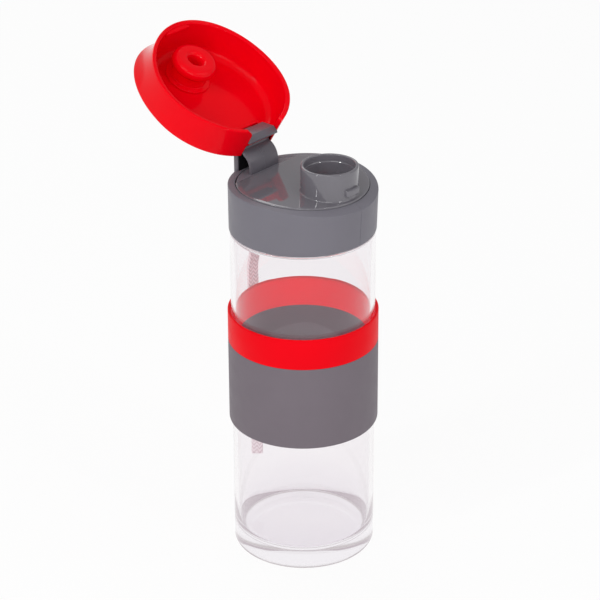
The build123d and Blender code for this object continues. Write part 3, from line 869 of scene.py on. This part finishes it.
def make_spout():
    """Pipe with a soft foot on the deck, a widened mouth, and the latch bead on its front."""
    foot = 0.7
    sink = 0.05
    wall_low_z = 209.0
    slope_h = 0.5
    buried_w = 0.3
    longest = 3.0
    count = 160
    angles = around(count)
    rows = []
    for slow, fast in quarter(4):
        r = SPOUT_R + foot * fast
        rows.append((r, deck_height(SPOUT_Y + r * np.sin(angles)) - sink + foot * slow))
    mouth_z = SPOUT_TOP_Z - MOUTH_H
    upper = [(SPOUT_R, wall_low_z), (SPOUT_R, SPOUT_TOP_Z), (MOUTH_R, SPOUT_TOP_Z)]
    upper += [(MOUTH_R, mouth_z), (SPOUT_BORE_R, mouth_z - slope_h), (SPOUT_BORE_R, DECK_LOW_Z)]
    rows += split_long(rounded(upper, SPOUT_ROUNDS, steps=5), longest)
    rows.append((SPOUT_R - buried_w, DECK_LOW_Z))
    rings = []
    for r, z in rows:
        rings.append(np.stack([r * np.cos(angles), SPOUT_Y + r * np.sin(angles), np.full(count, z)], -1))
    verts, faces = skin(rings, closed=True)
    spout = add_piece("spout_pipe", verts, faces, gloss_mat, "cap", sharp=50.0)

    bead_half_w = 4.75
    bead_reach = 1.6
    bead_low_z, bead_high_z = 207.4, 210.7
    corner_x, corner_y = 1.0, 0.9
    wall_y = SPOUT_Y - SPOUT_R
    front_y = wall_y - bead_reach
    half = [(bead_half_w - corner_x, front_y), (bead_half_w, front_y + corner_y)]
    half += [(bead_half_w, wall_y + bead_reach)]
    outline = [(-x, y) for x, y in reversed(half)] + half
    verts, faces = plan_prism(outline, bead_low_z, bead_high_z)
    bead = add_piece("latch_bead", verts, faces, gloss_mat, "cap")
    bevel(bead, 0.5, 3, 30.0)


def make_seal():
    in_r, out_r = 29.8, 33.3
    low_z, high_z = NECK_TOP_Z + 0.1, 200.7
    rounding = 0.4
    outline = [(in_r, low_z), (out_r, low_z), (out_r, high_z), (in_r, high_z)]
    seal = add_ring("seal_ring", outline, [rounding] * 4, seal_mat, "seal", 128)
    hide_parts("cap_seal")


# Lid


def bend_between(z, low, middle, high):
    """Quadratic through a value at each of the lid's three levels."""
    z0, z1, z2 = LID_LEVELS
    first = (middle - low) / (z1 - z0)
    second = ((high - middle) / (z2 - z1) - first) / (z2 - z0)
    return low + first * (z - z0) + second * (z - z0) * (z - z1)


def lid_rim_height(y):
    base = edge_height(y) + RIM_GAP
    return np.where(y > HEEL_YS[0], np.maximum(base, np.interp(y, HEEL_YS, HEEL_ZS)), base)


def lid_section(c, s):
    """Points from the middle of the lid's top down its outside and up its inside, in a direction (c, s)."""

    def outer(z, inset=0.0):
        half_w = bend_between(z, *LID_HALF_W) - inset
        reach = bend_between(z, *(LID_BACK if s > 0 else LID_FRONT)) - inset
        return np.array([half_w * c, reach * s, z])

    def inner(z, inset=0.0):
        share = (z - LID_IN_LOW_Z) / (LID_CEILING_Z - LID_IN_LOW_Z)
        half_w = LID_IN_HALF_W - LID_IN_DRAW * share - inset
        reach = LID_IN_REACH - (LID_IN_BACK_DRAW * share if s > 0 else 0.0) - inset
        return np.array([half_w * c, reach * s, z])

    def drawn_in(point, shares):
        return [point * np.array([share, share, 1.0]) for share in shares]

    # The rim's underside follows the slope of the collar's top.
    edge_r, edge_z, climb = collar_edge(c, s)
    rim_z = float(lid_rim_height(RIM_REACH * s))
    outer_r = np.linalg.norm(outer(rim_z)[:2])
    inner_r = math.hypot(LID_IN_HALF_W * c, LID_IN_REACH * s)
    rim_z = max(rim_z, edge_z + climb * (edge_r - outer_r + RIM_ROUND) + RIM_GAP)
    inner_z = max(rim_z, edge_z + climb * (edge_r - inner_r)) + RIM_IN_GAP

    column = drawn_in(outer(LID_TOP_Z), (0.02, 0.2, 0.4, 0.6, 0.8, 0.92))
    for slow, fast in quarter(5):
        column.append(outer(LID_TOP_Z - LID_CROWN * slow, LID_CROWN * fast))
    for z in np.linspace(LID_TOP_Z - LID_CROWN, rim_z + RIM_ROUND + 0.05, 22)[1:]:
        column.append(outer(z))
    for slow, fast in quarter(4)[1:]:
        column.append(outer(rim_z + RIM_ROUND * fast, RIM_ROUND * slow))
    for slow, fast in quarter(4):
        column.append(inner(inner_z + RIM_ROUND * slow, -RIM_ROUND * fast))
    for z in np.linspace(inner_z + RIM_ROUND, LID_CEILING_Z - CEILING_ROUND, 18)[1:]:
        column.append(inner(z))
    for slow, fast in quarter(10)[1:]:
        column.append(inner(LID_CEILING_Z - CEILING_ROUND * fast, CEILING_ROUND * slow))
    return column + drawn_in(inner(LID_CEILING_Z, CEILING_ROUND), (0.9, 0.75, 0.55, 0.35, 0.15, 0.02))


def notch_cutter():
    """Cutter for the notch round the post: straight sides that flare out in a curve to the lid's heel."""
    curve = 4.0
    low_z, high_z = 198.0, 232.0
    back_y = 46.0
    heel_z = HEEL_ZS[1]
    side = [(NOTCH_HALF_W, high_z)]
    side += [(NOTCH_HALF_W + curve * slow, heel_z + curve * fast) for slow, fast in quarter(8)]
    side += [(NOTCH_HALF_W + curve + 0.5, low_z)]
    outline = side + [(-x, z) for x, z in reversed(side)]
    verts, faces = front_prism(outline, NOTCH_FRONT_Y, back_y)
    return add_piece("notch_cutter", verts, faces, lid_mat, None)


def make_lid():
    """Shell of the lid, drawn shut, notched and then swung open."""
    columns = np.array([lid_section(math.cos(a), math.sin(a)) for a in around(320)])
    rings = [columns[:, k] for k in range(columns.shape[1])]
    verts, faces = skin(rings, cap_first=True, cap_last=True)
    lid = add_piece("lid_dome", verts, faces, lid_mat, None, sharp=60.0)
    cut(lid, notch_cutter(), 45.0)
    swing_open(lid)
    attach(lid, "lid")
    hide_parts("lid_shell")


def add_lid_block(name, verts, faces, width, segments):
    """Block of the lid, drawn shut, bevelled and then swung open."""
    block = add_piece(name, verts, faces, lid_mat, None)
    bevel(block, width, segments)
    swing_open(block)
    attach(block, "lid")


def make_lid_details():
    """The wall round the notch, the axle in it, and the pad that catches the spout's bead."""
    wall = 1.6
    wall_low_z, wall_high_z = 219.4, 223.2
    end_y, inner_end_y = 35.2, 35.6
    half = [(NOTCH_HALF_W + wall, NOTCH_FRONT_Y - wall), (NOTCH_HALF_W + wall, end_y)]
    half += [(NOTCH_HALF_W, inner_end_y), (NOTCH_HALF_W, NOTCH_FRONT_Y)]
    verts, faces = plan_prism(half + [(-x, y) for x, y in reversed(half)], wall_low_z, wall_high_z)
    add_lid_block("notch_wall", verts, faces, 0.3, 2)

    axle_half_w = 11.5
    bar = [(x, HINGE_Y, HINGE_Z) for x in np.linspace(-axle_half_w, axle_half_w, 9)]
    verts, faces = tube(bar, AXLE_R, 48)
    axle = add_piece("hinge_axle", verts, faces, lid_mat, "lid", swing=True)

    pad_half_w = 8.2
    front_y, back_y = -37.0, -34.2
    front_z, back_z, top_z = 203.3, 204.3, 206.6
    pad = [(front_y, front_z), (back_y, back_z), (back_y, top_z), (front_y, top_z)]
    verts, faces = side_prism(pad, -pad_half_w, pad_half_w)
    add_lid_block("catch_pad", verts, faces, 0.35, 3)


def make_plug():
    """Plug with a hole in its tip, a round bulge, a stem and a flange on the lid's ceiling."""
    tip_z = 209.0
    hole_r, hole_z = 3.6, tip_z + 9.0
    hole_edge, hole_draft = 0.4, 0.1
    mouth_w, mouth_h = 2.6, 2.8
    wide_r = 12.0
    bulge_w, bulge_h = 3.4, 3.3
    bulge_turn = 130
    stem_r = 9.25
    waist_w, waist_low_h, waist_high_h = 1.15, 6.3, 7.4
    flange_z, top_z = 221.4, LID_CEILING_Z - 0.05
    outline = [(0, hole_z), (hole_r - hole_edge, hole_z), (hole_r - hole_draft, hole_z - hole_edge)]
    outline.append((hole_r, tip_z + mouth_h + hole_edge))
    for slow, fast in quarter(8):
        outline.append((hole_r + mouth_w * slow, tip_z + mouth_h * fast))
    for turn in np.linspace(-90, bulge_turn - 90, 15):
        t = math.radians(turn)
        outline.append((wide_r - bulge_w * (1 - math.cos(t)), tip_z + bulge_h * (1 + math.sin(t))))
    upper = [(stem_r + waist_w, tip_z + waist_low_h), (stem_r, tip_z + waist_high_h), (stem_r, flange_z)]
    upper += [(wide_r, flange_z), (wide_r, top_z), (0, top_z)]
    outline += rounded(upper, radii=[0.8, 0.5, 0.4, 0.2])
    verts, faces = turned(outline, 128, SPOUT_Y)
    plug = add_piece("stopper_plug", verts, faces, plug_mat, "lid", sharp=60.0, swing=True)
    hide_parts("lid_plug")


# Strap


# Where the strap's two legs hang, the same as in the CAD: height, middle between the legs as x and y,
# half the gap between the legs' middles, and turn in degrees.
STRAP_HANG = [
    (190.8, 0.0, 40.6, 1.75, 0.0),
    (184.0, 0.0, 40.6, 1.75, 0.0),
    (176.0, 1.2, 40.1, 1.0, 3.0),
    (166.0, 3.9, 39.5, 0.68, 6.0),
    (157.5, 5.6, 39.6, 0.68, 9.0),
    (152.0, 5.2, 40.5, 0.68, 10.5),
    (147.0, 4.6, 41.4, 0.68, 12.0),
    (136.0, 4.6, 41.8, 0.68, 15.5),
    (120.0, 5.0, 42.0, 0.68, 21.0),
    (100.0, 5.7, 42.1, 0.68, 27.0),
    (75.0, 6.3, 42.2, 0.68, 35.5),
    (50.0, 6.7, 42.3, 0.72, 43.5),
    (40.0, 6.8, 42.3, 0.9, 47.0),
    (33.0, 6.8, 42.3, 1.2, 49.0),
]
STRAP_W = 7.4
STRAP_T = 1.2


def smooth_through(places, levels, values):
    """Smooth values at the places, from values at falling levels."""
    slopes = np.gradient(values, levels, axis=0)
    result = []
    for place in places:
        k = int(np.clip(np.searchsorted(-levels, -place) - 1, 0, len(levels) - 2))
        size = levels[k + 1] - levels[k]
        t = (place - levels[k]) / size
        result.append(hermite(t, values[k], values[k + 1], size * slopes[k], size * slopes[k + 1]))
    return np.array(result)


def strap_line():
    """Centreline of the closed strap with the direction across it, at even steps, and its length."""
    step = 0.3
    table = np.array(STRAP_HANG)
    levels = table[:, 0]
    top, bottom = levels[0], levels[-1]
    heights = np.linspace(bottom, top, 500)
    line, across = [], []

    def frame_at(places):
        values = smooth_through(places, levels, table[:, 1:])
        turn = np.radians(values[:, 3])
        middle = np.stack([values[:, 0], values[:, 1], places], -1)
        sideways = np.stack([np.cos(turn), -np.sin(turn), np.zeros(len(turn))], -1)
        outwards = np.stack([np.sin(turn), np.cos(turn), np.zeros(len(turn))], -1)
        return middle, sideways, outwards, values[:, 2][:, None]

    def add_leg(places, side):
        middle, sideways, outwards, gap = frame_at(places)
        line.extend(middle + side * gap * outwards)
        across.extend(sideways)

    def add_fold(level, start, end):
        middle, sideways, outwards, gap = frame_at(np.array([level]))
        upwards = np.array([0, 0, 1.0])
        for a in np.linspace(math.radians(start), math.radians(end), 26)[1:-1]:
            line.append(middle[0] + gap[0] * (math.cos(a) * outwards[0] + math.sin(a) * upwards))
            across.append(sideways[0])

    add_leg(heights, -1)
    add_fold(top, 180, 0)
    add_leg(heights[::-1], 1)
    add_fold(bottom, 0, -180)
    line.append(line[0])
    across.append(across[0])
    line, across = np.array(line), np.array(across)
    travel = np.concatenate([[0], np.cumsum(np.linalg.norm(np.diff(line, axis=0), axis=1))])
    total = travel[-1]
    places = np.linspace(0, total, int(total / step), endpoint=False)
    path = np.stack([np.interp(places, travel, line[:, k]) for k in range(3)], -1)
    sideways = np.stack([np.interp(places, travel, across[:, k]) for k in range(3)], -1)
    return path, unit(sideways), places, total


def make_strap():
    """Flat webbing swept along its line, with a herringbone of lifted threads on both faces."""
    line, sideways, places, total = strap_line()
    ahead = unit(np.roll(line, -1, axis=0) - np.roll(line, 1, axis=0))
    normal = unit(np.cross(ahead, sideways))
    half_w, half_t = STRAP_W / 2, STRAP_T / 2
    rim_w, rim_draw = 0.25, 0.06
    # One face from edge to edge, then the rounded edge beside it; the other half is its mirror image.
    half = [(a, half_t) for a in np.linspace(rim_w - half_w, half_w - rim_w, 31)]
    half += [(half_w - rim_draw, half_t * 0.6), (half_w, 0.0), (half_w - rim_draw, -half_t * 0.6)]
    section = half + [(-a, -t) for a, t in half]
    lanes = 4.0
    pitch = 2.3
    slant = 0.95
    lift = 0.06
    edge_tone = 0.6
    rings, weave = [], []
    for p, across, out, place in zip(line, sideways, normal, places):
        ring = []
        for a, t in section:
            side = 1.0 if t > 0 else -1.0
            lane = (a / STRAP_W + 0.5) * lanes
            fold = abs((lane / 2) % 1.0 - 0.5) * 2
            wave = math.sin(2 * math.pi * (place / pitch + side * fold * slant))
            on_face = abs(t) > half_t * 0.9
            raised = side * lift * (wave - 1) if on_face else 0.0
            ring.append(p + across * a + out * (t + raised))
            # Weave tone: low where the threads dip, as painted shade, and a mid tone on the edges
            weave.append(0.5 + 0.5 * wave if on_face else edge_tone)
        rings.append(ring)
    verts, faces = skin(rings, closed=True)
    strap = add_piece("webbing_strap", verts, faces, web_mat, "cap", sharp=180.0)
    tone = strap.data.attributes.new("weave", "FLOAT", "POINT")
    tone.data.foreach_set("value", np.array(weave, np.float32))
    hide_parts("strap_loop")


make_bottle()
make_grip()
make_collar()
make_hinge_ground()
make_post()
make_lug()
make_mould_lines()
make_deck()
make_spout()
make_seal()
make_lid()
make_lid_details()
make_plug()
make_strap()


# Floor, light and camera


def seen_by(tree, *rays):
    """1 for rays that come from the camera or in one of the named ways."""
    path = tree.nodes.new("ShaderNodeLightPath")
    pick = path.outputs["Is Camera Ray"]
    for name in rays:
        pick = compute(tree, "MAXIMUM", pick, path.outputs[name])
    return pick


def make_floor():
    size = 6.0
    level = -0.00005
    white_share = 0.9
    mesh = bpy.data.meshes.new("floor")
    corner_signs = ((-1, -1), (1, -1), (1, 1), (-1, 1))
    mesh.from_pydata([(x * size, y * size, level) for x, y in corner_signs], [], [(0, 1, 2, 3)])
    floor = bpy.data.objects.new("floor", mesh)
    bpy.context.scene.collection.objects.link(floor)
    mat, tree, shader = new_material("floor_white")
    shader.inputs["Base Color"].default_value = (0.93, 0.93, 0.93, 1)
    shader.inputs["Roughness"].default_value = 0.9
    shader.inputs["Specular IOR Level"].default_value = 0.0
    # Seen by the camera, in gloss or through glass it is mostly plain white, with the shadow on it.
    white = tree.nodes.new("ShaderNodeEmission")
    white.inputs["Strength"].default_value = 1.0
    seen = seen_by(tree, "Is Glossy Ray", "Is Transmission Ray")
    share = compute(tree, "MULTIPLY", seen, white_share)
    surface = mix_shaders(tree, share, shader.outputs["BSDF"], white.outputs["Emission"])
    tree.links.new(surface, tree.nodes["Material Output"].inputs["Surface"])
    mesh.materials.append(mat)


def make_world():
    """White all round: full for the camera and through glass, half as a light."""
    world = bpy.data.worlds.new("studio")
    bpy.context.scene.world = world
    world.use_nodes = True
    tree = world.node_tree
    shader = tree.nodes["Background"]
    shader.inputs["Color"].default_value = (1, 1, 1, 1)
    strength = spread(tree, seen_by(tree, "Is Transmission Ray"), 0.5, 1.0)
    tree.links.new(strength, shader.inputs["Strength"])


def add_lamp(name, place, aim_z, size, energy, size_y=None):
    """Area lamp that faces a height on the bottle's axis; glass shows it only as a reflection."""
    data = bpy.data.lights.new(name, "AREA")
    data.energy = energy
    data.size = size
    if size_y:
        data.shape = "RECTANGLE"
        data.size_y = size_y
    lamp = bpy.data.objects.new(name, data)
    lamp.location = place
    aim = Vector((0, 0, aim_z))
    lamp.rotation_euler = (aim - Vector(place)).to_track_quat("-Z", "Y").to_euler()
    lamp.visible_transmission = False
    bpy.context.scene.collection.objects.link(lamp)


# From a fit of the photograph's outlines, in metres, with the roll as a slope
CAMERA_PLACE = (-0.8464, -0.7337, 0.6919)
CAMERA_AIM = (-0.00103, 0.00118, 0.13925)
CAMERA_LENS = 146.3
CAMERA_ROLL = -0.0051


def make_camera():
    data = bpy.data.cameras.new("camera")
    data.sensor_width = 36.0
    data.lens = CAMERA_LENS
    data.clip_start = 0.01
    data.clip_end = 50.0
    camera = bpy.data.objects.new("camera", data)
    bpy.context.scene.collection.objects.link(camera)
    place, aim = Vector(CAMERA_PLACE), Vector(CAMERA_AIM)
    forward = (aim - place).normalized()
    right = forward.cross(Vector((0, 0, 1))).normalized()
    up = right.cross(forward).normalized()
    tilted_right = (right + CAMERA_ROLL * up).normalized()
    tilted_up = tilted_right.cross(forward).normalized()
    turn = Matrix((tilted_right, tilted_up, -forward)).transposed()
    camera.matrix_world = Matrix.Translation(place) @ turn.to_4x4()
    bpy.context.scene.camera = camera


make_floor()
make_world()
add_lamp("key_lamp", (-1.1, -0.3, 1.3), 0.12, 0.9, 4.5)
add_lamp("front_lamp", (-1.05, -0.95, 0.55), 0.12, 0.6, 2.8)
add_lamp("fill_lamp", (0.5, -1.4, 0.9), 0.12, 0.9, 2.8)
add_lamp("back_lamp", (0.6, 1.0, 1.2), 0.15, 0.8, 3.6)
add_lamp("left_strip", (-1.04, 0.17, 0.85), 0.2, 0.08, 3.0, 0.5)
add_lamp("right_strip", (-0.07, -1.05, 0.85), 0.2, 0.03, 1.4, 0.5)
make_camera()
bpy.context.scene.view_settings.view_transform = "Standard"
